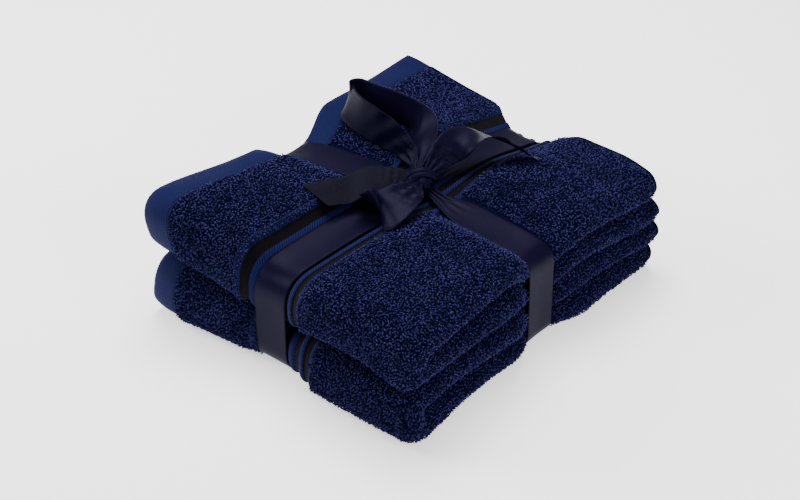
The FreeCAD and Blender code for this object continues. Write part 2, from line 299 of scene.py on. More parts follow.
class NodeBoard(Board):
    """The nodes of one material."""

    def __init__(self, name: str) -> None:
        """Start a material with one Principled shader."""
        self.material = bpy.data.materials.new(name)
        self.material.use_nodes = True
        super().__init__(self.material.node_tree)
        self.shader = next(node for node in self.tree.nodes if node.type == "BSDF_PRINCIPLED")

    def set(self, **inputs: object) -> None:
        """Set or join sockets of the shader, by name with _ for a space."""
        self.feed(self.shader, inputs)

    def place(self, kind: str) -> bpy.types.NodeSocket:
        """Where a point is: Object for its place in metres, UV for its place on the flat cloth."""
        return self.node("ShaderNodeTexCoord").outputs[kind]

    def noise(self, place: bpy.types.NodeSocket, scale: float, detail: float) -> bpy.types.NodeSocket:
        """Cloudy values from 0 to 1."""
        return self.node("ShaderNodeTexNoise", Vector=place, Scale=scale, Detail=detail).outputs["Fac"]

    def calculate(self, operation: str, first: bpy.types.NodeSocket,
                  second: bpy.types.NodeSocket) -> bpy.types.NodeSocket:
        """Add or multiply two values."""
        made = self.node("ShaderNodeMath", {"operation": operation})
        self.tree.links.new(first, made.inputs[0])
        self.tree.links.new(second, made.inputs[1])
        return made.outputs[0]

    def mix(self, share: bpy.types.NodeSocket, low: Sequence[float],
            high: Sequence[float]) -> bpy.types.NodeSocket:
        """Grade from one colour to another."""
        ramp = self.node("ShaderNodeValToRGB", Fac=share)
        ramp.color_ramp.elements[0].color = (*low, 1.0)
        ramp.color_ramp.elements[1].color = (*high, 1.0)
        return ramp.outputs["Color"]

    def bump(self, height: bpy.types.NodeSocket, strength: float, distance: float) -> bpy.types.NodeSocket:
        """Turn a height into a shading normal; distance is in metres."""
        made = self.node("ShaderNodeBump", Height=height, Strength=strength, Distance=distance)
        return made.outputs["Normal"]


@dataclass(frozen=True)
class LoopPileFinish:
    """Looped cotton pile: each loop has its own random tone, and is painted darker towards its foot as shade
    deep in the pile, brightest at its top.
    """

    deep: tuple = (0.0005, 0.0012, 0.0180)
    bright: tuple = (0.0320, 0.0300, 0.1300)
    darkest_at: float = 0.30
    brightest_at: float = 1.38
    roughness: float = 0.8
    sheen: float = 0.02

    def make(self) -> bpy.types.Material:
        """Build the material."""
        board = NodeBoard("terry_loops")
        shade = board.node("ShaderNodeAttribute", {"attribute_name": "shade"}).outputs["Fac"]
        place = board.place("Object")
        cloud = board.noise(place, 38.0, 3.0)
        fibre = board.noise(place, 1900.0, 2.0)
        # painted shade: the loop's height from foot (0) to top (1) darkens its colour towards the foot,
        # standing in for the shade deep in the pile
        crown = board.node("ShaderNodeAttribute", {"attribute_name": "crown"}).outputs["Fac"]
        graded = board.calculate("MULTIPLY", board.calculate("ADD", shade, cloud), crown)
        level = board.node("ShaderNodeMapRange", Value=graded, From_Min=self.darkest_at,
                           From_Max=self.brightest_at)
        board.set(Base_Color=board.mix(level.outputs[0], self.deep, self.bright), Roughness=self.roughness,
                  Sheen_Weight=self.sheen, Sheen_Roughness=0.6, Sheen_Tint=(0.6, 0.66, 1.0, 1.0),
                  Specular_IOR_Level=0.03, Normal=board.bump(fibre, 0.5, 0.0004))
        return board.material


@dataclass(frozen=True)
class GroundFinish:
    """The ground between the loops, coloured near black as painted shade in the gaps of the pile."""

    # painted shade: this near-black colour, far darker than the loops, stands in for the shade that falls
    # between the loops
    colour: tuple = (0.0005, 0.0007, 0.0050)

    def make(self) -> bpy.types.Material:
        """Build the material."""
        board = NodeBoard("terry_ground")
        grain = board.noise(board.place("Object"), 420.0, 4.0)
        lighter = tuple(4.5 * value for value in self.colour)
        board.set(Base_Color=board.mix(grain, self.colour, lighter), Roughness=0.95,
                  Specular_IOR_Level=0.02, Normal=board.bump(grain, 1.0, 0.003))
        return board.material


class Lie(Enum):
    """Which way the fine lines of a woven cloth lie."""

    DIAGONAL = 45.0
    CROSSWISE = 0.0
    LENGTHWISE = 90.0


@dataclass(frozen=True)
class WovenFinish:
    """Flat weave with fine lines, read from the cloth's own UV map in metres."""

    name: str
    deep: tuple
    bright: tuple
    lie: Lie
    line_spacing: float = 0.0014
    roughness: float = 0.75
    sheen: float = 0.015
    depth: float = 0.0005

    def make(self) -> bpy.types.Material:
        """Build the material."""
        board = NodeBoard(self.name)
        cloth = board.place("UV")
        turned = board.node("ShaderNodeMapping", Vector=cloth,
                            Rotation=(0.0, 0.0, math.radians(self.lie.value)))
        lines = board.node("ShaderNodeTexWave", {"bands_direction": "X"}, Vector=turned.outputs[0],
                           Scale=0.314 / self.line_spacing, Distortion=1.1, Detail=2.0, Detail_Scale=1.5)
        level = board.calculate("MULTIPLY", lines.outputs["Fac"], board.noise(cloth, 34.0, 5.0))
        board.set(Base_Color=board.mix(level, self.deep, self.bright), Roughness=self.roughness,
                  Sheen_Weight=self.sheen, Sheen_Roughness=0.5, Specular_IOR_Level=0.05,
                  Normal=board.bump(lines.outputs["Fac"], 0.6, self.depth))
        return board.material


@dataclass(frozen=True)
class SatinFinish:
    """Ribbon cloth: a smooth shining face or a matt twilled back."""

    name: str
    deep: tuple
    bright: tuple
    roughness: float
    sheen: float
    anisotropy: float
    grain: float
    shine: float

    def make(self) -> bpy.types.Material:
        """Build the material."""
        board = NodeBoard(self.name)
        cloth = board.place("UV")
        threads = board.node("ShaderNodeTexWave", {"bands_direction": "DIAGONAL"}, Vector=cloth,
                             Scale=420.0, Distortion=0.8, Detail=2.0)
        stretched = board.node("ShaderNodeMapping", Vector=cloth, Scale=(60.0, 900.0, 1.0))
        rough = board.node("ShaderNodeMapRange", Value=board.noise(stretched.outputs[0], 1.0, 2.0),
                           To_Min=self.roughness - 0.06, To_Max=self.roughness + 0.08)
        normal = board.bump(threads.outputs["Fac"], self.grain, 0.0003)
        board.set(Base_Color=board.mix(board.noise(cloth, 26.0, 4.0), self.deep, self.bright),
                  Roughness=rough.outputs[0], Specular_Tint=(0.62, 0.58, 1.0, 1.0),
                  Specular_IOR_Level=self.shine, Anisotropic=self.anisotropy, Sheen_Weight=self.sheen,
                  Sheen_Roughness=0.35, Sheen_Tint=(0.5, 0.5, 1.0, 1.0), Normal=normal)
        return board.material


@dataclass(frozen=True)
class Finishes:
    """Every material of the set, made once."""

    loops: bpy.types.Material
    ground: bpy.types.Material
    hem: bpy.types.Material
    rib: bpy.types.Material
    channel: bpy.types.Material
    thread: bpy.types.Material
    satin: bpy.types.Material
    satin_back: bpy.types.Material

    @staticmethod
    def make() -> "Finishes":
        """Build all the materials."""
        return Finishes(
            loops=LoopPileFinish().make(),
            ground=GroundFinish().make(),
            hem=WovenFinish("hem_weave", (0.0022, 0.0034, 0.028), (0.0056, 0.0090, 0.070),
                            Lie.DIAGONAL).make(),
            rib=WovenFinish("border_rib", (0.0014, 0.0024, 0.022), (0.0092, 0.0130, 0.092), Lie.DIAGONAL,
                            line_spacing=0.0023, depth=0.0006).make(),
            channel=WovenFinish("border_channel", (0.0008, 0.0004, 0.0016), (0.0052, 0.0026, 0.0086),
                                Lie.LENGTHWISE, line_spacing=0.0012, roughness=0.85, sheen=0.02).make(),
            thread=WovenFinish("hem_thread", (0.0030, 0.0085, 0.050), (0.0080, 0.0240, 0.120),
                               Lie.CROSSWISE, line_spacing=0.0004, roughness=0.6).make(),
            satin=SatinFinish("satin_face", (0.0019, 0.0014, 0.0082), (0.0042, 0.0032, 0.0150),
                              roughness=0.40, sheen=0.01, anisotropy=0.5, grain=0.10, shine=0.048).make(),
            satin_back=SatinFinish("satin_back", (0.0026, 0.0024, 0.0060), (0.0056, 0.0050, 0.0105),
                                   roughness=0.60, sheen=0.02, anisotropy=0.0, grain=0.9, shine=0.06).make())


# ---- the stack's shape ----------------------------------------------------------------------
@dataclass
class StackForm:
    """How the ribbons pull the stack in and how it swells between them, in millimetres."""

    half_x: float
    half_y: float
    height: float
    ribbon_half_width: float = RIBBON_WIDTH / 2
    pinch_reach: float = 66.0
    short_pinch_reach: float = 46.0
    top_pinch: float = 9.0
    edge_pinch: float = 5.0
    side_pinch: float = 9.0
    side_bulge: float = 2.6
    swell: float = 6.0
    hem_corner_flare: float = 8.0
    hem_corner_puff: float = 2.6
    fold_corner_flare: float = 5.0
    fold_edge_pinch: float = 11.0
    corner_droop: float = 5.0
    open_side_droop: float = 13.0
    base_pinch: float = 2.6
    pile_cushion: float = 3.3

    @staticmethod
    def from_frame() -> "StackForm":
        """Read the stack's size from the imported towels."""
        low, high = (np.array(corner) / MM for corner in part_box("upper_towel"))
        return StackForm(half_x=(high[0] - low[0]) / 2, half_y=(high[1] - low[1]) / 2, height=high[2])

    def crosswise_x(self, y: np.ndarray) -> np.ndarray:
        """Middle of the wrap that runs along Y."""
        return -7.0 + 0.052 * y + 7.0 * np.exp(-((y - 12.0) / 55.0) ** 2)

    def lengthwise_y(self, x: np.ndarray) -> np.ndarray:
        """Middle of the wrap that runs along X."""
        return 4.0 + 0.07 * x + 8.0 * np.exp(-(x / 55.0) ** 2)

    def hold(self, distance: np.ndarray) -> np.ndarray:
        """How strongly a wrap at this distance holds the cloth, from 0 to 1."""
        reach = np.where(distance < 0, self.short_pinch_reach, self.pinch_reach)
        gripped = 0.6 * self.ribbon_half_width
        return 1.0 - smooth_step(gripped, reach, np.abs(distance))

    def top_at(self, x: float, y: float) -> float:
        """Height of the tied stack's upper surface, in millimetres."""
        return float(self.deform(np.array([[x, y, self.height]]))[0, 2])

    def above_pile(self, points: np.ndarray) -> np.ndarray:
        """Lowest height at which a ribbon lies on the loops, for points of any layout."""
        flat = points.reshape(-1, 3).copy()
        flat[:, 2] = self.height
        return self.deform(flat)[:, 2].reshape(points.shape[:-1]) + self.pile_cushion

    def deform(self, points: np.ndarray) -> np.ndarray:
        """Move points of the plain stack to where the tied, swollen stack has them.

        Args:
            points: Rows of x, y, z in millimetres.

        Returns:
            The moved rows.
        """
        x, y, z = points[:, 0], points[:, 1], points[:, 2]
        rise = np.clip(z / self.height, 0.0, 1.1)
        out_x = np.clip(np.abs(x) / self.half_x, 0.0, 1.2)
        out_y = np.clip(np.abs(y) / self.half_y, 0.0, 1.2)
        hold_cross = self.hold(x - self.crosswise_x(y))
        hold_length = self.hold(y - self.lengthwise_y(x))
        pull_cross = hold_cross * (self.top_pinch + self.edge_pinch * out_y ** 3)
        edge_pull = np.where(x > 0, self.fold_edge_pinch, self.edge_pinch)
        pull_length = hold_length * (self.top_pinch + edge_pull * out_x ** 3)
        pinch = (pull_cross ** 3 + pull_length ** 3) ** (1 / 3)
        free = (1.0 - hold_cross) * (1.0 - hold_length)
        near_corner = smooth_step(0.70, 1.0, out_x) * smooth_step(0.74, 1.0, out_y)
        hem_corner = smooth_step(0.2, 0.8, -x / self.half_x) * smooth_step(0.1, 0.85, -y / self.half_y)
        puffed = free * (1.0 + self.hem_corner_puff * hem_corner)
        wave = (1.1 * np.sin(x / 31.0 + 0.9) * np.cos(y / 43.0 - 0.4)
                + 0.8 * np.sin(x / 17.0 - y / 23.0 + 1.7))
        droop = (self.open_side_droop * smooth_step(0.40, 1.0, y / self.half_y)
                 * smooth_step(-1.15, -0.45, x / self.half_x))
        corner_droop = self.corner_droop * near_corner * np.where(x > 0, 1.0, 0.1)
        lift = self.swell * puffed - corner_droop - pinch + wave * free - droop
        under = (self.base_pinch * np.maximum(hold_cross, hold_length) ** 0.5
                 * np.clip(1.0 - rise / 0.3, 0.0, 1.0))
        new_z = z + lift * rise ** 1.15 + under
        side_x = self.side_pinch * hold_length * smooth_step(0.5, 1.0, out_x)
        side_y = self.side_pinch * hold_cross * smooth_step(0.5, 1.0, out_y)
        flare = np.where(x < 0, self.hem_corner_flare, self.fold_corner_flare) * (0.6 + 0.4 * rise)
        flare = flare * smooth_step(0.45, 0.95, out_x) * smooth_step(0.45, 0.95, out_y)
        side_x = side_x - flare
        side_y = side_y - flare * np.where(y < 0, 1.0, 0.3)
        bulge = self.side_bulge * free
        side_x = side_x - bulge * smooth_step(0.7, 1.0, out_x) * (0.5 + np.sin(y / 37.0 + z / 19.0))
        side_y = side_y - bulge * smooth_step(0.7, 1.0, out_y) * (0.5 + np.sin(x / 33.0 - z / 17.0))
        return np.column_stack([x - np.sign(x) * side_x, y - np.sign(y) * side_y, new_z])


# ---- towels -----------------------------------------------------------------------------------
class Side(Enum):
    """A side of the cloth: the one that shows when it is folded, and the hidden one."""

    SHOWN = 1.0
    HIDDEN = -1.0


@dataclass
class TowelCloth:
    """One towel: its folded cloth, its loops and its stitching.

    The cloth is followed from its outer hem along its length: over the outside, round the
    double fold, back along the innermost layer, round the single fold, out and back again.
    """

    name: str
    form: StackForm
    finishes: Finishes
    base_z: float
    height: float
    border_x: float
    seed: int
    flat_width: float = 760.0
    flat_length: float = 1270.0
    layer_pitch: float = 7.5
    half_thickness: float = 3.3
    hem_band: float = 30.0
    hem_half_thickness: float = 1.5
    side_hem: float = 8.0
    side_hem_half_thickness: float = 2.3
    border_pitch: float = 15.8
    border_ribs: int = 6
    rib_width: float = 7.4
    rib_height: float = 1.7
    border_recess: float = 0.9
    border_skew: float = 0.055
    hem_droop: float = 3.2
    hem_droop_reach: float = 26.0
    edge_waver: float = 1.6
    layer_waver: float = 0.7
    floor_gap: float = 0.3
    seam_height: float = 0.15
    upper_fold_power: float = 0.85
    lower_fold_power: float = 0.66
    rests_on: tuple = ()

    def __post_init__(self) -> None:
        """Work out the fold line's stretches."""
        pitch = self.layer_pitch
        self.start_x = -self.form.half_x + 1.0
        self.fold_x = self.form.half_x - 2 * pitch
        self.inner_fold_x = -self.form.half_x + 2.0 + pitch
        self.end_x = -self.form.half_x + 3.0
        self.stretches = np.array([
            self.fold_x - self.start_x, math.pi * 1.5 * pitch, self.fold_x - self.inner_fold_x,
            math.pi * 0.5 * pitch, self.fold_x - self.inner_fold_x, math.pi * 0.5 * pitch,
            self.fold_x - self.end_x])
        self.marks = np.concatenate([[0.0], np.cumsum(self.stretches)])
        self.path_length = float(self.marks[-1])
        self.border_u = self.border_x - self.start_x
        self.border_half = (self.border_ribs - 0.5) / 2 * self.border_pitch

    def along_length(self, u: np.ndarray) -> tuple[np.ndarray, np.ndarray, np.ndarray, np.ndarray]:
        """Follow the lengthwise folds.

        Args:
            u: Distance from the outer hem, in millimetres.

        Returns:
            x, depth below the outside of the bundle, and the two parts of the shown side's normal.
        """
        pitch = self.layer_pitch
        marks = self.marks
        span = [np.clip(u - start, 0.0, reach) for start, reach in zip(marks, self.stretches)]
        turn = [math.pi * done / reach for done, reach in zip(span, self.stretches)]
        zero = np.zeros_like(u)
        one = np.ones_like(u)
        options = [
            (self.start_x + span[0], 0.5 * pitch * one, zero, -one),
            (self.fold_x + 1.5 * pitch * np.sin(turn[1]), pitch * (2 - 1.5 * np.cos(turn[1])),
             np.sin(turn[1]), -np.cos(turn[1])),
            (self.fold_x - span[2], 3.5 * pitch * one, zero, one),
            (self.inner_fold_x - 0.5 * pitch * np.sin(turn[3]), pitch * (3 + 0.5 * np.cos(turn[3])),
             -np.sin(turn[3]), np.cos(turn[3])),
            (self.inner_fold_x + span[4], 2.5 * pitch * one, zero, -one),
            (self.fold_x + 0.5 * pitch * np.sin(turn[5]), pitch * (2 + 0.5 * np.cos(turn[5])),
             -np.sin(turn[5]), -np.cos(turn[5])),
            (self.fold_x - span[6], 1.5 * pitch * one, zero, one),
        ]
        which = np.clip(np.searchsorted(marks, u, side="right") - 1, 0, 6)
        return tuple(np.choose(which, [option[part] for option in options]) for part in range(4))

    def relief(self, u: np.ndarray, v: np.ndarray) -> np.ndarray:
        """Half thickness of the cloth at a point of the flat towel, on the shown side."""
        from_hem = np.minimum(u, self.path_length - u)
        past_hem = smooth_step(self.hem_band - 1.0, self.hem_band + 3.0, from_hem)
        thick = self.hem_half_thickness + (self.half_thickness - self.hem_half_thickness) * past_hem
        from_edge = np.minimum(v, 1.0 - v) * self.flat_width
        edge = smooth_step(0.55 * self.side_hem, 1.3 * self.side_hem, from_edge)
        thin = self.side_hem_half_thickness / self.half_thickness
        return thick * (thin + (1.0 - thin) * edge)

    def from_rib(self, across: np.ndarray) -> np.ndarray:
        """Distance to the middle of the nearest rib, from the distance to the border's middle."""
        half_step = 0.5 if self.border_ribs % 2 == 0 else 0.0
        return np.abs(np.mod(across / self.border_pitch + half_step + 0.5, 1.0) - 0.5) * self.border_pitch

    def border_relief(self, u: np.ndarray) -> np.ndarray:
        """Height of the ribbed border above the plain cloth, below zero in its channels."""
        across = u - self.border_u
        inside = 1.0 - smooth_step(self.border_half - 1.5, self.border_half + 1.0, np.abs(across))
        rib_share = np.clip(self.from_rib(across) / (self.rib_width / 2), 0.0, 1.0)
        rib = np.sqrt(np.maximum(0.0, 1.0 - rib_share ** 2.6))
        return inside * (self.rib_height * rib - self.border_recess * (1.0 - rib))

    def surface(self, u: np.ndarray, v: np.ndarray, side: Side, raise_by: float = 0.0) -> np.ndarray:
        """Place points of the flat towel in the folded, tied stack.

        Args:
            u: Distance from the outer hem along the folded length, in millimetres.
            v: Share of the way across the towel, 0 and 1 at its side edges.
            side: Which side of the cloth.
            raise_by: Extra height off that side, in millimetres.

        Returns:
            Rows of x, y, z in millimetres.
        """
        x, depth, normal_x, normal_depth = self.along_length(u)
        offset = self.relief(u, v)
        if side is Side.SHOWN:
            offset = offset + self.border_relief(u)
        offset = side.value * (offset + raise_by)
        x = x + normal_x * offset
        depth = depth + normal_depth * offset
        half = self.height / 2
        drop = self.hem_droop * np.clip(1.0 - (x + self.form.half_x) / self.hem_droop_reach, 0.0, 1.3) ** 2
        depth = depth + drop * np.clip(1.0 - depth / half, 0.0, 1.0)
        fold_y = -self.form.half_y + half
        end_y = self.form.half_y - 3.0 + self.edge_waver * np.sin(u / 97.0 + self.seed)
        straight = end_y - fold_y
        bend = math.pi * half
        travelled = v * (2 * straight + bend)
        angle = np.clip((travelled - straight) / bend, 0.0, 1.0) * math.pi
        radius = half - depth
        above = np.where(travelled < straight, end_y - travelled, fold_y)
        after = travelled - straight - bend
        squareness = np.where(angle > math.pi / 2, self.lower_fold_power, self.upper_fold_power)
        outward = np.maximum(np.sin(angle), 0.0) ** squareness
        upward = np.sign(np.cos(angle)) * np.abs(np.cos(angle)) ** squareness
        y = np.where(after > 0, fold_y + after, above) - radius * outward
        z = self.base_z + half + radius * upward
        grain = self.border_skew * y * (1.0 - smooth_step(60.0, 135.0, np.abs(x)))
        wobble = self.layer_waver * np.sin(u / 61.0 + v * 9.0 + self.seed) * smooth_step(0.0, 40.0, u)
        return self.form.deform(np.column_stack([x + grain, y, z + wobble]))

    def cloth_steps(self) -> tuple[np.ndarray, np.ndarray]:
        """Spacing of the cloth's grid: fine where it shows and across the ribs, coarse inside."""
        marks = self.marks
        band_low = self.border_u - self.border_half - 4.0
        band_high = self.border_u + self.border_half + 4.0
        last_hem = marks[7] - self.hem_band - 4.0
        stretches = [
            (0.0, self.hem_band - 2.0, 5.0), (self.hem_band - 2.0, self.hem_band + 4.0, 1.5),
            (self.hem_band + 4.0, band_low, 4.5), (band_low, band_high, 1.15), (band_high, marks[1], 4.5),
            (marks[1], marks[2], 2.6), (marks[2], marks[3], 13.0), (marks[3], marks[4], 1.5),
            (marks[4], marks[5], 13.0), (marks[5], marks[6], 2.0), (marks[6], last_hem, 13.0),
            (last_hem, marks[7], 3.0)]
        lines = [np.linspace(low, high, max(2, math.ceil((high - low) / step)) + 1)[:-1]
                 for low, high, step in stretches]
        u = np.concatenate(lines + [[marks[7]]])
        hem_share = 2.0 * self.side_hem / self.flat_width
        edge = np.linspace(0.0, hem_share, 7)[:-1]
        middle = np.linspace(hem_share, 1.0 - hem_share, 138)
        v = np.concatenate([edge, middle, 1.0 - edge[::-1]])
        return u, v

    def build_cloth(self) -> bpy.types.Object:
        """Make the cloth with its two sides, hems and border."""
        u_lines, v_lines = self.cloth_steps()
        u, v = (grid.ravel() for grid in np.meshgrid(u_lines, v_lines, indexing="ij"))
        vertices = np.vstack([self.surface(u, v, Side.SHOWN), self.surface(u, v, Side.HIDDEN)])
        vertices[:, 2] = np.maximum(vertices[:, 2], self.floor_gap)
        faces, sides = slab_faces(len(u_lines), len(v_lines), closed_rows=False)
        uvs = np.column_stack([u, v * self.flat_width]) * MM
        u_mid = np.concatenate([u, u])[faces].mean(axis=1)
        from_hem = np.minimum(u_mid, self.path_length - u_mid)
        across = u_mid - self.border_u
        on_rib = self.from_rib(across) < self.rib_width / 2
        in_border = (np.abs(across) < self.border_half + 1.0) & (sides == 0)
        # Faces left in slot 0 take the ground finish, coloured near black as painted shade between the
        # loops.
        slots = np.zeros(len(faces), dtype=int)
        slots[from_hem < self.hem_band] = 1
        slots[in_border & on_rib] = 2
        slots[in_border & ~on_rib] = 3
        slots[sides == 2] = 1
        kit = self.finishes
        cloth = mesh_object(f"{self.name}_cloth", vertices, faces,
                            [kit.ground, kit.hem, kit.rib, kit.channel], slots, np.vstack([uvs, uvs]))
        turn_faces_outwards(cloth)
        return cloth

    def pile_patches(self) -> dict[str, tuple[float, float, float, float]]:
        """Patches of the cloth that show their loops: u from and to, v from and to."""
        half = self.height / 2
        straight = 2 * self.form.half_y - 3.0 - half
        total = 2 * straight + math.pi * half
        top = straight / total
        hidden = 1.0 - top
        marks = self.marks
        margin = 0.75 * self.side_hem / self.flat_width
        band_low = self.border_u - self.border_half + 6.6
        band_high = self.border_u + self.border_half - 4.0
        band_start = self.hem_band + 1.5
        return {
            "hem_side_above": (band_start, band_low, margin, top),
            "hem_side_round": (band_start, band_low, top, hidden),
            "hem_side_below": (band_start, band_low, hidden, 1.0 - margin),
            "fold_side_above": (band_high, marks[1], margin, top),
            "fold_side_round": (band_high, marks[1], top, hidden),
            "fold_side_below": (band_high, marks[1], hidden, 1.0 - margin),
            "double_fold_above": (marks[1], marks[2], margin, 0.5),
            "double_fold_below": (marks[1], marks[2], 0.5, 1.0 - margin),
            "single_fold": (marks[3] - 12.0, marks[4] + 12.0, margin, 1.0 - margin),
        }

    def shows(self, points: np.ndarray) -> np.ndarray:
        """Tell which points of the cloth can be seen, clear of the ribbons and the other towel."""
        x, y, z = points.T
        clear = self.form.ribbon_half_width + 1.2
        free = np.abs(x - self.form.crosswise_x(y)) > clear
        free &= np.abs(y - self.form.lengthwise_y(x)) > clear
        rim = np.abs(x) > self.form.half_x - 26.0
        rim |= (y < -self.form.half_y + 30.0) | (y > self.form.half_y - 16.0)
        buried = np.abs(z - self.form.height / 2) < 14.0
        return free & (rim | ~buried)

    def build_pile(self, tree: bpy.types.NodeTree) -> list[bpy.types.Object]:
        """Stand loops on every patch that shows."""
        made = []
        for index, (patch, (u0, u1, v0, v1)) in enumerate(self.pile_patches().items()):
            u_lines = np.linspace(u0, u1, max(3, math.ceil((u1 - u0) / 3.0)))
            v_lines = np.linspace(v0, v1, max(3, math.ceil((v1 - v0) * self.flat_width / 4.0)))
            u, v = (grid.ravel() for grid in np.meshgrid(u_lines, v_lines, indexing="ij"))
            points = self.surface(u, v, Side.SHOWN, -0.2)
            faces = grid_faces(np.arange(len(u)).reshape(len(u_lines), len(v_lines)))[:, ::-1]
            faces = faces[self.shows(points)[faces].all(axis=1)]
            if len(faces) == 0:
                continue
            used, places = np.unique(faces, return_inverse=True)
            bed = mesh_object(f"{self.name}_bed_{patch}", points[used], places.reshape(faces.shape), [])
            self.check_bed(bed)
            loops = grow(bed, tree, f"{self.name}_loops_{patch}",
                         {"Spacing": PILE_SPACING, "Seed": 17 * self.seed + index})
            if len(loops.data.vertices) == 0:
                bpy.data.objects.remove(loops)
                continue
            flatten_on_floor(loops)
            made.append(loops)
            LOG.info("%s: %d triangles", loops.name, len(loops.data.loops) - 2 * len(loops.data.polygons))
        return made

    def check_bed(self, bed: bpy.types.Object) -> None:
        """Turn a bed over if its faces look into the towel."""
        middle = Vector((0.0, 0.0, (self.base_z + self.height / 2) * MM))
        bed.data.update()
        total = 0.0
        for polygon in bed.data.polygons:
            away = (polygon.center - middle) * Vector((0.35, 0.35, 3.0))
            total += polygon.normal.dot(away) * polygon.area
        if total < 0:
            bed.data.flip_normals()

    def seam_line(self, u: np.ndarray | float, v: np.ndarray | float) -> np.ndarray:
        """Points of a line of stitching on the shown side; one of u and v may be a single value."""
        return self.surface(*np.broadcast_arrays(u, v), Side.SHOWN, self.seam_height)

    def build_stitching(self, tree: bpy.types.NodeTree) -> dict[str, bpy.types.Object]:
        """Sew the hem band and the side hems."""
        end_seam = self.seam_line(self.hem_band - 2.5, np.linspace(0.008, 0.992, 260))
        u = np.linspace(self.hem_band + 6.0, self.marks[1] - 4.0, 150)
        edge = (0.75 * self.side_hem - 2.0) / self.flat_width
        side_seams = [self.seam_line(u, edge), self.seam_line(u, 1.0 - edge)]
        made = {}
        for label, lines in (("end_hem", [end_seam]), ("side_hem", side_seams)):
            vertices = np.vstack(lines)
            vertices[:, 2] = np.maximum(vertices[:, 2], 0.4 + self.floor_gap)
            rows = np.arange(len(vertices)).reshape(len(lines), -1)
            edges = [(int(k), int(k) + 1) for k in rows[:, :-1].ravel()]
            mesh = bpy.data.meshes.new(f"{self.name}_{label}_line")
            mesh.from_pydata((vertices * MM).tolist(), edges, [])
            made[label] = grow(in_scene(mesh.name, mesh), tree, f"{self.name}_{label}_thread",
                               {"Stitch": STITCH_LENGTH})
        return made

    def build(self, pile: bpy.types.NodeTree, stitches: bpy.types.NodeTree) -> bpy.types.Object:
        """Make the towel and join it to its body and nodes.

        Args:
            pile: The tree that stands loops on a bed.
            stitches: The tree that sews along a line.

        Returns:
            The cloth, without its loops and threads.
        """
        cloth = self.build_cloth()
        loops = self.build_pile(pile)
        threads = self.build_stitching(stitches)
        for piece in [cloth, *loops, *threads.values()]:
            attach(piece, ROOT)
        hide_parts(f"{self.name}_towel")
        for label, thread in threads.items():
            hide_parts(f"{self.name}_{label}_stitching")
        LOG.info("%s towel: %d pieces", self.name, 1 + len(loops) + len(threads))
        return cloth


# ---- geometry nodes -----------------------------------------------------------------------------
class TreeBoard(Board):
    """The nodes of one geometry tree with named inputs."""

    def __init__(self, name: str, **inputs: tuple) -> None:
        """Start a tree that takes and gives geometry.

        Args:
            name: The tree's name.
            **inputs: Socket type and default value of each further input.
        """
        super().__init__(bpy.data.node_groups.new(name, "GeometryNodeTree"))
        sockets = self.tree.interface
        for direction in ("INPUT", "OUTPUT"):
            sockets.new_socket("Geometry", in_out=direction, socket_type="NodeSocketGeometry")
        for key, (kind, value) in inputs.items():
            sockets.new_socket(key, in_out="INPUT", socket_type=kind).default_value = value
        self.given = self.tree.nodes.new("NodeGroupInput").outputs

    def repeat(self, points: bpy.types.NodeSocket, **inputs: object) -> bpy.types.NodeSocket:
        """Stand the Pattern object on every point."""
        shape = self.node("GeometryNodeObjectInfo", {"transform_space": "ORIGINAL"},
                          Object=self.given["Pattern"])
        placed = self.node("GeometryNodeInstanceOnPoints", Points=points, Instance=shape.outputs["Geometry"],
                           **inputs)
        return placed.outputs["Instances"]

    def finish(self, instances: bpy.types.NodeSocket) -> bpy.types.NodeTree:
        """End the tree in real geometry with the Finish material."""
        real = self.node("GeometryNodeRealizeInstances", Geometry=instances)
        dressed = self.node("GeometryNodeSetMaterial", Geometry=real.outputs["Geometry"],
                            Material=self.given["Finish"])
        self.node("NodeGroupOutput", Geometry=dressed.outputs["Geometry"])
        return self.tree


def grow(source: bpy.types.Object, tree: bpy.types.NodeTree, name: str,
         values: dict[str, object]) -> bpy.types.Object:
    """Run a tree on an object, keep the result as a plain mesh and drop the source.

    Args:
        source: The bed or line that the tree works on.
        tree: The geometry tree.
        name: Name of the finished piece.
        values: Named inputs.

    Returns:
        The finished piece.
    """
    modifier = source.modifiers.new("grow", "NODES")
    modifier.node_group = tree
    for item in tree.interface.items_tree:
        if item.item_type == "SOCKET" and item.in_out == "INPUT" and item.name in values:
            modifier[item.identifier] = values[item.name]
    graph = bpy.context.evaluated_depsgraph_get()
    mesh = bpy.data.meshes.new_from_object(source.evaluated_get(graph), depsgraph=graph)
    mesh.name = name
    source.modifiers.remove(modifier)
    bpy.data.objects.remove(source)
    mesh.polygons.foreach_set("use_smooth", np.ones(len(mesh.polygons), dtype=bool))
    return in_scene(name, mesh)


def flatten_on_floor(piece: bpy.types.Object) -> None:
    """Press whatever would reach below the surface flat on it."""
    places = points_of(piece)
    lowest = 0.0001 + 0.00002 * (np.arange(len(places)) % 7)
    places[:, 2] = np.maximum(places[:, 2], lowest)
    piece.data.vertices.foreach_set("co", places.ravel())
    piece.data.update()


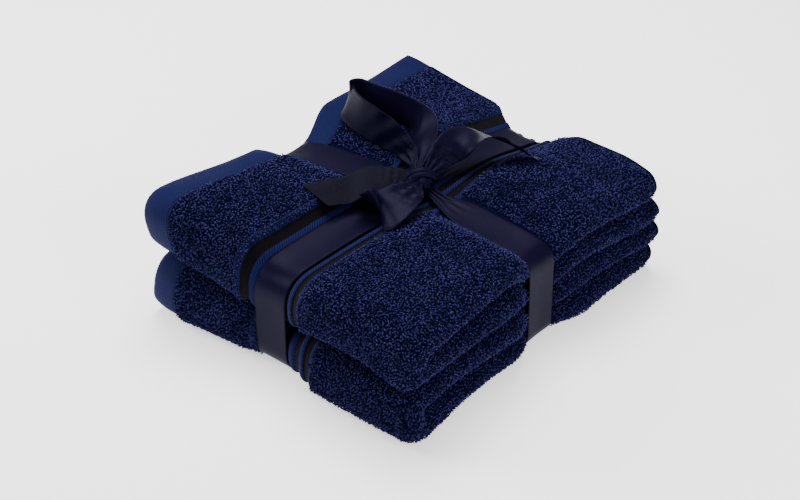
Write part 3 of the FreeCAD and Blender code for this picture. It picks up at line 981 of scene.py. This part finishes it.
@dataclass(frozen=True)
class TerryLoop:
    """One loop of pile: a closed, curved worm of three rings, bedded at both ends."""

    length: float = 3.9
    width: float = 1.55
    rise: float = 1.9
    bend: float = 0.55

    def make(self, material: bpy.types.Material) -> bpy.types.Object:
        """Build the loop that is repeated."""
        points = [(-self.length / 2, 0.0, -0.5)]
        for share, swell in ((-0.27, 0.82), (0.0, 1.0), (0.27, 0.82)):
            along = share * self.length
            lift = self.rise * (1.0 - (2.2 * share) ** 2)
            aside = self.bend * (1.0 - (3.0 * share) ** 2)
            half = self.width / 2 * swell
            points += [(along, aside - half, lift - 0.55 * half), (along, aside + half, lift - 0.55 * half),
                       (along, aside, lift + 0.75 * half)]
        points.append((self.length / 2, 0.0, -0.5))
        faces = []
        for k in range(3):
            following = (k + 1) % 3
            faces.append([0, 1 + following, 1 + k])
            for ring in (1, 4):
                faces.append([ring + k, ring + following, ring + 3 + following, ring + 3 + k])
            faces.append([7 + k, 7 + following, 10])
        loop = mesh_object("terry_loop", np.array(points), faces, [material])
        # painted shade: each point's height share, read by the pile's material to darken the loop towards
        # its foot
        crown = loop.data.attributes.new("crown", "FLOAT", "POINT")
        heights = np.array(points)[:, 2]
        crown.data.foreach_set("value", np.clip((heights + 0.5) / (self.rise + 0.9), 0.0, 1.0))
        turn_faces_outwards(loop)
        return loop


def pile_tree(loop: bpy.types.Object, material: bpy.types.Material) -> bpy.types.NodeTree:
    """Tree that scatters loops over a bed.

    Args:
        loop: The loop to repeat.
        material: The loops' finish.

    Returns:
        A tree with inputs Spacing, Seed, Pattern and Finish.
    """
    board = TreeBoard("terry_pile", Spacing=("NodeSocketFloat", PILE_SPACING), Seed=("NodeSocketInt", 1),
                      Pattern=("NodeSocketObject", loop), Finish=("NodeSocketMaterial", material))
    given = board.given
    scatter = board.node("GeometryNodeDistributePointsOnFaces", {"distribute_method": "POISSON"},
                         Mesh=given["Geometry"], Distance_Min=given["Spacing"], Density_Max=600000.0,
                         Seed=given["Seed"])
    tilt = 0.42
    turn = board.node("FunctionNodeRandomValue", {"data_type": "FLOAT_VECTOR"}, Min=(-tilt, -tilt, 0.0),
                      Max=(tilt, tilt, 2 * math.pi), Seed=given["Seed"])
    as_rotation = board.node("FunctionNodeEulerToRotation", Euler=turn.outputs["Value"])
    spin = board.node("FunctionNodeRotateRotation", {"rotation_space": "LOCAL"},
                      Rotation=scatter.outputs["Rotation"], Rotate_By=as_rotation.outputs["Rotation"])
    size = board.node("FunctionNodeRandomValue", {"data_type": "FLOAT_VECTOR"}, Min=(0.72, 0.80, 0.70),
                      Max=(1.22, 1.15, 1.35))
    instances = board.repeat(scatter.outputs["Points"], Rotation=spin.outputs["Rotation"],
                             Scale=size.outputs["Value"])
    tint = board.node("FunctionNodeRandomValue", {"data_type": "FLOAT"})
    mark = board.node("GeometryNodeStoreNamedAttribute", {"data_type": "FLOAT", "domain": "INSTANCE"},
                      Geometry=instances, Name="shade", Value=tint.outputs[1])
    return board.finish(mark.outputs["Geometry"])


def stitch_tree(stitch: bpy.types.Object, material: bpy.types.Material) -> bpy.types.NodeTree:
    """Tree that lays stitches end to end along a line.

    Args:
        stitch: The stitch to repeat.
        material: The thread's finish.

    Returns:
        A tree with inputs Stitch, Pattern and Finish.
    """
    board = TreeBoard("hem_stitches", Stitch=("NodeSocketFloat", STITCH_LENGTH),
                      Pattern=("NodeSocketObject", stitch), Finish=("NodeSocketMaterial", material))
    curve = board.node("GeometryNodeMeshToCurve", Mesh=board.given["Geometry"])
    even = board.node("GeometryNodeResampleCurve", {"mode": "LENGTH"}, Curve=curve.outputs["Curve"],
                      Length=board.given["Stitch"])
    tangent = board.node("GeometryNodeInputTangent")
    aim = board.node("FunctionNodeAlignRotationToVector", {"axis": "X"}, Vector=tangent.outputs["Tangent"])
    return board.finish(board.repeat(even.outputs["Curve"], Rotation=aim.outputs["Rotation"]))


def make_stitch(material: bpy.types.Material) -> bpy.types.Object:
    """One stitch: a short closed spindle of thread."""
    length, radius = 2.9, 0.42
    points = [(-length / 2, 0.0, -0.2)]
    for along in (-0.25 * length, 0.25 * length):
        points += [(along, radius * math.cos(angle), radius * math.sin(angle))
                   for angle in np.arange(5) * 2 * math.pi / 5]
    points.append((length / 2, 0.0, -0.2))
    faces = []
    for k in range(5):
        following = (k + 1) % 5
        faces += [[0, 1 + following, 1 + k], [1 + k, 1 + following, 6 + following, 6 + k],
                  [6 + k, 6 + following, 11]]
    stitch = mesh_object("hem_stitch", np.array(points), faces, [material])
    turn_faces_outwards(stitch)
    return stitch


# ---- ribbon ------------------------------------------------------------------------------------
def ribbon_slab(name: str, middle: np.ndarray, kit: Finishes, thickness: float, closed: bool,
                face_out: bool = True, both_satin: bool = False) -> bpy.types.Object:
    """Give a grid of ribbon points a thickness, a satin face and a matt back.

    Args:
        name: The piece's name.
        middle: Points, rows along the ribbon, columns across it, in millimetres.
        kit: The finishes.
        thickness: Thickness of the ribbon.
        closed: Whether the ribbon closes on itself.
        face_out: Whether the satin face is on the side of the grid's normals.
        both_satin: Whether twists show the satin face from both sides.

    Returns:
        The piece.
    """
    rows, columns = middle.shape[:2]
    if closed:
        along = np.roll(middle, -1, axis=0) - np.roll(middle, 1, axis=0)
    else:
        along = np.gradient(middle, axis=0)
    across = np.gradient(middle, axis=1)
    normals = unit(np.cross(along, across))
    offset = normals * thickness / 2
    vertices = np.vstack([(middle + offset).reshape(-1, 3), (middle - offset).reshape(-1, 3)])
    faces, sides = slab_faces(rows, columns, closed)
    travelled = travelled_along(middle[:, columns // 2])
    width = np.linspace(0.0, RIBBON_WIDTH, columns)
    uv = np.stack(np.meshgrid(travelled, width, indexing="ij"), axis=-1).reshape(-1, 2) * MM
    matt_side = 1 if face_out else 0
    slots = np.zeros(len(faces), dtype=int) if both_satin else (sides == matt_side).astype(int)
    piece = mesh_object(name, vertices, faces, [kit.satin, kit.satin_back], slots, np.vstack([uv, uv]))
    turn_faces_outwards(piece)
    return piece


class Run(Enum):
    """Which way a wrap runs round the stack."""

    CROSSWISE = "crosswise_wrap"
    LENGTHWISE = "lengthwise_wrap"


@dataclass
class RibbonWrap:
    """One turn of the ribbon round the stack, pulled tight over the cloth."""

    run: Run
    form: StackForm
    finishes: Finishes
    knot: np.ndarray
    clearance: float
    lowest: float
    width: float = RIBBON_WIDTH
    thickness: float = RIBBON_THICKNESS
    columns: int = 21
    rows: int = 420
    gathered: float = 0.34
    gather_reach: float = 66.0
    strip: float = 4.0
    pleats: float = 1.5
    knot_lift: float = 5.0

    def flattened(self, cloud: np.ndarray) -> tuple[np.ndarray, np.ndarray]:
        """Split cloth points into the distance across the wrap and the plane along it."""
        x, y, z = cloud.T
        if self.run is Run.CROSSWISE:
            return x - self.form.crosswise_x(y), np.column_stack([y, z])
        return y - self.form.lengthwise_y(x), np.column_stack([x, z])

    def tight_line(self, plane: np.ndarray) -> np.ndarray:
        """The tight, slightly eased line round the points of one strip."""
        line = evenly(convex_outline(plane), 2400, closed=True)
        angle = np.arctan2(line[:, 1] - self.form.height / 2, line[:, 0])
        line = smoothed(line[np.argsort(angle)], 60, closed=True)
        tangent = np.roll(line, -1, axis=0) - np.roll(line, 1, axis=0)
        outward = unit(np.column_stack([tangent[:, 1], -tangent[:, 0]]))
        return evenly(line + outward * self.clearance, self.rows, closed=True)

    def build(self, cloud: np.ndarray) -> bpy.types.Object:
        """Lay the wrap over the cloth points and gather it at the knot.

        Args:
            cloud: Points of both towels' cloth, in millimetres.

        Returns:
            The piece.
        """
        across, plane = self.flattened(cloud)
        lanes = np.linspace(-self.width / 2, self.width / 2, self.columns)
        strips = [plane[np.abs(across - lane) < self.strip] for lane in lanes]
        grid = np.stack([self.tight_line(strip) for strip in strips], axis=1)
        grid = np.stack([smoothed(grid[row], 40, closed=False) for row in range(self.rows)])
        grid = smoothed(grid, 8, closed=True)
        along, z = grid[..., 0], grid[..., 1]
        lane_grid = np.broadcast_to(lanes, along.shape)
        knot_along = self.knot[1] if self.run is Run.CROSSWISE else self.knot[0]
        distance = np.abs(along - knot_along)
        on_top = z > 0.6 * self.form.height
        open_share = self.gathered + (1 - self.gathered) * smooth_step(9.0, self.gather_reach, distance)
        open_share = np.where(on_top, open_share, 1.0)
        gather = (1.0 - open_share) / (1.0 - self.gathered)
        pleat = self.pleats * gather * np.sin(lane_grid / self.width * 2 * math.pi * 3.5 + 0.02 * along)
        lift = self.knot_lift * np.where(on_top, 1.0 - smooth_step(4.0, 34.0, distance), 0.0)
        wear = 0.10 * np.sin(along / 11.0 + lane_grid / 7.0) * np.where(on_top, 1.0, 0.4)
        aside = lane_grid * open_share
        z = np.maximum(z + pleat + lift + wear, self.lowest)
        if self.run is Run.CROSSWISE:
            middle = np.stack([aside + self.form.crosswise_x(along), along, z], axis=-1)
        else:
            middle = np.stack([along, aside + self.form.lengthwise_y(along), z], axis=-1)
        piece = ribbon_slab(f"{self.run.value}_ribbon", middle, self.finishes, self.thickness, closed=True,
                            face_out=self.run is Run.CROSSWISE)
        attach(piece, ROOT)
        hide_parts(self.run.value)
        return piece


@dataclass
class BowPiece:
    """A loop or a tail of the bow: a ribbon that follows a few given stations.

    Each station is x, y, z of the ribbon's middle, the three parts of the direction from its
    lower to its upper edge, and its width there, all in millimetres.
    """

    name: str
    stations: Sequence[tuple]
    finishes: Finishes
    hinge: np.ndarray
    reach: np.ndarray
    rows: int = 150
    columns: int = 17
    thickness: float = RIBBON_THICKNESS
    cup: float = 0.0
    pleats: float = 1.5
    end_cut: float = 0.0
    face_out: bool = True
    both_satin: bool = False
    lowest_at: Callable | None = None
    returns: bool = False

    def grid(self) -> np.ndarray:
        """Work out the ribbon's points."""
        line = spline(self.stations, self.rows)
        middle, lean, width = line[:, :3], unit(line[:, 3:6]), line[:, 6]
        tangent = unit(np.gradient(middle, axis=0))
        lean = unit(lean - tangent * (lean * tangent).sum(axis=1, keepdims=True))
        normal = np.cross(tangent, lean)
        lanes = np.linspace(-0.5, 0.5, self.columns)[None, :]
        full = self.stations[len(self.stations) // 2][6]
        gather = np.clip(1.0 - width / full, 0.0, 1.0)[:, None]
        wave = self.pleats * gather * np.sin(lanes * 2 * math.pi * 3.0 + 0.6)
        cupped = self.cup * (4 * lanes ** 2 - 0.5) * (1 - gather)
        along = np.arange(self.rows)[:, None] / self.rows
        ripple = 0.5 * np.sin(along * 23.0 + lanes * 5.0) * (1 - gather)
        crumpled = (0.2, 0.8) if self.returns else (0.2,)
        near_knot = sum(np.exp(-((along - place) / 0.09) ** 2) for place in crumpled)
        ripple = ripple + 0.8 * near_knot * np.sin(along * 75.0 + lanes * 7.0)
        points = middle[:, None, :] + lean[:, None, :] * (lanes * width[:, None])[..., None]
        points = points + normal[:, None, :] * (wave + cupped + ripple)[..., None]
        if self.end_cut:
            share = smooth_step(0.72, 1.0, along) * lanes
            points = points + tangent[:, None, :] * (share * self.end_cut)[..., None]
        if self.lowest_at is not None:
            points[..., 2] = np.maximum(points[..., 2], self.lowest_at(points))
        return points

    def build(self) -> bpy.types.Object:
        """Make the piece, bake its placing into its points and hide the imported part it stands for."""
        points = self.grid()
        piece = ribbon_slab(f"{self.name}_ribbon", points, self.finishes, self.thickness, closed=False,
                            face_out=self.face_out, both_satin=self.both_satin)
        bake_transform(piece)
        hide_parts(self.name)
        return piece


@dataclass
class BowKnot:
    """The knot: a pleated core with a narrow pleated band drawn over it."""

    centre: np.ndarray
    finishes: Finishes
    radii: tuple = (16.0, 13.5, 9.5)
    turn: float = -0.65
    band_lift: float = 2.4
    band_thickness: float = 0.6

    def core(self) -> tuple[np.ndarray, list]:
        """Points and faces of the pleated core."""
        around, rings = 96, 40
        angle = np.linspace(0, 2 * math.pi, around, endpoint=False)
        height = np.linspace(-math.pi / 2, math.pi / 2, rings + 2)[1:-1]
        lat, lon = np.meshgrid(height, angle, indexing="ij")
        ridge = (1.0 + 0.075 * np.sin(7 * lon + 2.2 * np.sin(2 * lat)) * np.cos(lat)
                 + 0.04 * np.sin(13 * lon - 3.0 * lat))
        x = self.radii[0] * np.cos(lat) * np.cos(lon) * ridge
        y = self.radii[1] * np.cos(lat) * np.sin(lon) * ridge
        z = self.radii[2] * np.sin(lat) * (1.0 + 0.05 * np.sin(5 * lon))
        points = np.column_stack([x.ravel(), y.ravel(), z.ravel()])
        points = np.vstack([points, [[0, 0, -self.radii[2]], [0, 0, self.radii[2]]]])
        rows = np.arange(rings * around).reshape(rings, around)
        pairs = [(k, (k + 1) % around) for k in range(around)]
        faces = []
        for below, above in zip(rows[:-1], rows[1:]):
            faces += [[below[k], below[after], above[after], above[k]] for k, after in pairs]
        for k, after in pairs:
            faces += [[len(points) - 2, rows[0, after], rows[0, k]],
                      [rows[-1, k], rows[-1, after], len(points) - 1]]
        return points, faces

    def band(self) -> np.ndarray:
        """Points of the band that goes over the core, rows along it."""
        rows, columns = 120, 25
        angle = np.linspace(0.0, 2 * math.pi, rows, endpoint=False)[:, None]
        lane = np.linspace(-1.0, 1.0, columns)[None, :]
        half = 7.0 + 1.8 * np.cos(angle) ** 2
        swell = 1.0 + 0.07 * np.sin(lane * 9.0 + 1.4 * np.sin(angle))
        out = np.sqrt(np.maximum(0.12, 1.0 - 0.40 * lane ** 2))
        along = (self.radii[1] + self.band_lift) * np.cos(angle) * swell * out
        up = (self.radii[2] + self.band_lift) * np.sin(angle) * swell * out
        aside = lane * half + 1.8 * np.sin(angle)
        return np.stack([aside, along, up], axis=-1)

    def placed(self, points: np.ndarray) -> np.ndarray:
        """Turn and move points of the knot to its place."""
        cosine, sine = math.cos(self.turn), math.sin(self.turn)
        turned = points.copy()
        turned[..., 0] = cosine * points[..., 0] - sine * points[..., 1]
        turned[..., 1] = sine * points[..., 0] + cosine * points[..., 1]
        return turned + self.centre

    def build(self) -> None:
        """Make the core and the band."""
        points, faces = self.core()
        core = mesh_object("bow_knot_core", self.placed(points), faces, [self.finishes.satin])
        turn_faces_outwards(core)
        band = ribbon_slab("bow_knot_band", self.placed(self.band()), self.finishes, self.band_thickness,
                           closed=True)
        for piece in (core, band):
            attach(piece, ROOT)
            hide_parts("bow_knot")


# ---- studio ---------------------------------------------------------------------------------------
@dataclass
class Studio:
    """Floor, lights and camera."""

    eye: tuple = (1.1868, -1.3980, 1.3830)
    yaw: float = 40.62
    pitch: float = 36.06
    lens: float = 103.5
    stack_middle: float = 0.06

    def floor(self) -> None:
        """Lay a plain pale floor."""
        board = NodeBoard("studio_floor")
        board.set(Base_Color=(0.97, 0.97, 0.97, 1.0), Roughness=0.9, Specular_IOR_Level=0.1,
                  Emission_Color=(1.0, 1.0, 1.0, 1.0), Emission_Strength=0.9)
        size = 6.0
        corners = [(-size, -size, 0), (size, -size, 0), (size, size, 0), (-size, size, 0)]
        mesh = bpy.data.meshes.new("studio_floor")
        mesh.from_pydata(corners, [], [(0, 1, 2, 3)])
        mesh.materials.append(board.material)
        in_scene("studio_floor", mesh)

    def light(self, name: str, place: Sequence[float], size: float, power: float) -> None:
        """Hang one soft square light that looks at the stack."""
        data = bpy.data.lights.new(name, "AREA")
        data.size = size
        data.energy = power
        lamp = in_scene(name, data)
        lamp.location = place
        aim = Vector((0.0, 0.0, self.stack_middle)) - Vector(place)
        lamp.rotation_euler = aim.to_track_quat("-Z", "Y").to_euler()

    def build(self) -> None:
        """Set up the whole studio."""
        self.floor()
        world = bpy.data.worlds.new("studio_air")
        world.use_nodes = True
        background = world.node_tree.nodes["Background"]
        background.inputs["Color"].default_value = (1.0, 1.0, 1.0, 1.0)
        background.inputs["Strength"].default_value = 0.5
        bpy.context.scene.world = world
        self.light("top_softbox", (-0.35, 0.35, 1.7), 1.1, 52.0)
        self.light("left_softbox", (-1.5, -0.9, 1.1), 0.8, 34.0)
        self.light("right_softbox", (1.6, -0.2, 0.9), 0.7, 16.0)
        camera = bpy.data.cameras.new("camera")
        camera.lens = self.lens
        camera.sensor_width = 36.0
        eye = in_scene("camera", camera)
        yaw, pitch = math.radians(self.yaw), math.radians(self.pitch)
        back = Vector((math.sin(yaw) * math.cos(pitch), -math.cos(yaw) * math.cos(pitch), math.sin(pitch)))
        right = Vector((math.cos(yaw), math.sin(yaw), 0.0))
        rotation = Matrix((right, back.cross(right), back)).transposed()
        eye.matrix_world = Matrix.Translation(self.eye) @ rotation.to_4x4()
        bpy.context.scene.camera = eye


def hinge_of(joint: str) -> np.ndarray:
    """Where a joint of the bow is, in millimetres."""
    for item in frame["record"]["behaviour"]["joints"]:
        if item["name"] == joint:
            return np.array(item["pos_m"]) / MM
    raise ValueError(joint)


def build_bow(kit: Finishes, form: StackForm, centre: np.ndarray) -> None:
    """Tie the knot and hang its loops and tails.

    Args:
        kit: The finishes.
        form: The tied stack, on which the ends of the tails lie.
        centre: Middle of the knot, in millimetres.
    """
    BowKnot(centre, kit).build()
    back_loop = [
        (-6, 20, 128, 0.1, 0.3, 0.9, 9), (-26, 34, 131, -0.1, 0.35, 0.92, 22),
        (-52, 40, 136, 0.05, 0.2, 0.97, 33), (-80, 39, 142, 0.0, 0.2, 0.97, 38),
        (-104, 41, 145, 0.1, 0.25, 0.95, 38),
        (-125, 50, 147, 0.17, 0.33, 0.93, 38), (-122, 61, 148, 0.18, 0.3, 0.93, 38),
        (-100, 66, 147, 0.1, 0.2, 0.97, 38), (-74, 71, 146, 0.05, 0.1, 0.99, 38),
        (-50, 70, 145, 0.3, 0.22, 0.93, 38), (-33, 59, 143, 0.68, 0.46, 0.58, 38),
        (-22, 43, 138, 0.8, 0.5, 0.3, 30), (-12, 28, 131, 0.75, 0.4, 0.4, 14),
        (-4, 16, 128, 0.5, 0.2, 0.8, 9)]
    front_loop = [
        (4, 4, 125, -0.75, 0.5, 0.4, 9), (1, -14, 126, -0.8, 0.4, 0.45, 26),
        (1, -34, 127, -0.82, 0.42, 0.4, 42), (6, -50, 126, -0.85, 0.42, 0.32, 50),
        (13, -58, 129, -0.857, 0.41, 0.31, 50),
        (18, -52, 136, -0.857, 0.41, 0.30, 46), (20, -36, 139, -0.86, 0.40, 0.25, 38),
        (18, -16, 137, -0.85, 0.42, 0.2, 25), (9, 4, 131, -0.85, 0.4, 0.2, 10)]
    left_tail = [
        (-3, 8, 131, -0.85, 0.5, 0.1, 10), (-15, -7, 134, -0.87, 0.49, 0.10, 26),
        (-28, -28, 134, -0.87, 0.49, 0.08, 37),
        (-39, -52, form.top_at(-39, -52) + 5.0, -0.87, 0.49, 0.05, 38),
        (-50, -80, form.top_at(-50, -80) + 4.5, -0.87, 0.49, 0.0, 38)]
    right_tail = [
        (4, 22, 130, -0.5, 0.2, 0.8, 10), (4, 40, 137, -0.6, 0.2, 0.75, 24),
        (5, 57, 143, -0.65, 0.2, 0.65, 33), (11, 73, 147, -0.66, 0.5, 0.18, 36),
        (22, 87, 148, -0.58, 0.62, -0.42, 38),
        (37, 97, 145, -0.55, 0.62, -0.60, 37), (53, 101, 140, -0.54, 0.62, -0.62, 35),
        (69, 103, form.top_at(69, 103) + 11.0, -0.54, 0.62, -0.62, 33)]
    for name, stations, settings in (
            ("back_loop", back_loop, {"cup": -1.5, "rows": 240, "both_satin": True, "returns": True}),
            ("front_loop", front_loop, {"cup": 1.5, "rows": 180, "returns": True}),
            ("left_tail", left_tail, {"end_cut": 9.0}),
            ("right_tail", right_tail, {"cup": 1.5, "end_cut": 14.0})):
        hinge = hinge_of(name + "_lift")
        outward = unit((np.array(stations[len(stations) // 2][:3], dtype=float) - centre) * [1, 1, 0])
        BowPiece(name, stations, kit, hinge - 3 * outward, hinge + 14 * outward, lowest_at=form.above_pile,
                 **settings).build()


def main() -> None:
    """Build the towels, the ribbon and the studio in order."""
    logging.basicConfig(level=logging.INFO, format="%(message)s")
    form = StackForm.from_frame()
    kit = Finishes.make()
    loop = TerryLoop().make(kit.loops)
    stitch = make_stitch(kit.thread)
    loops = pile_tree(loop, kit.loops)
    stitches = stitch_tree(stitch, kit.thread)
    cloths = []
    for name, border_x, seed in (("lower", 10.0, 3), ("upper", -4.5, 5)):
        low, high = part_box(f"{name}_towel")
        towel = TowelCloth(name, form, kit, base_z=low[2] / MM, height=(high[2] - low[2]) / MM,
                           border_x=border_x, seed=seed,
                           rests_on=("lower_towel",) if name == "upper" else ())
        cloths.append(towel.build(loops, stitches))
    for pattern in (loop, stitch):
        bpy.data.objects.remove(pattern)
    cloud = np.vstack([points_of(cloth) / MM for cloth in cloths])
    knot_low, knot_high = (np.array(corner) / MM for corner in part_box("bow_knot"))
    aside = np.array([2.0, 1.0, 1.0])
    centre = (knot_low + knot_high) / 2 + aside
    RibbonWrap(Run.CROSSWISE, form, kit, centre, clearance=0.9, lowest=1.5).build(cloud)
    RibbonWrap(Run.LENGTHWISE, form, kit, centre, clearance=1.7, lowest=0.5).build(cloud)
    build_bow(kit, form, centre)
    Studio().build()


if __name__ == "__main__":
    main()
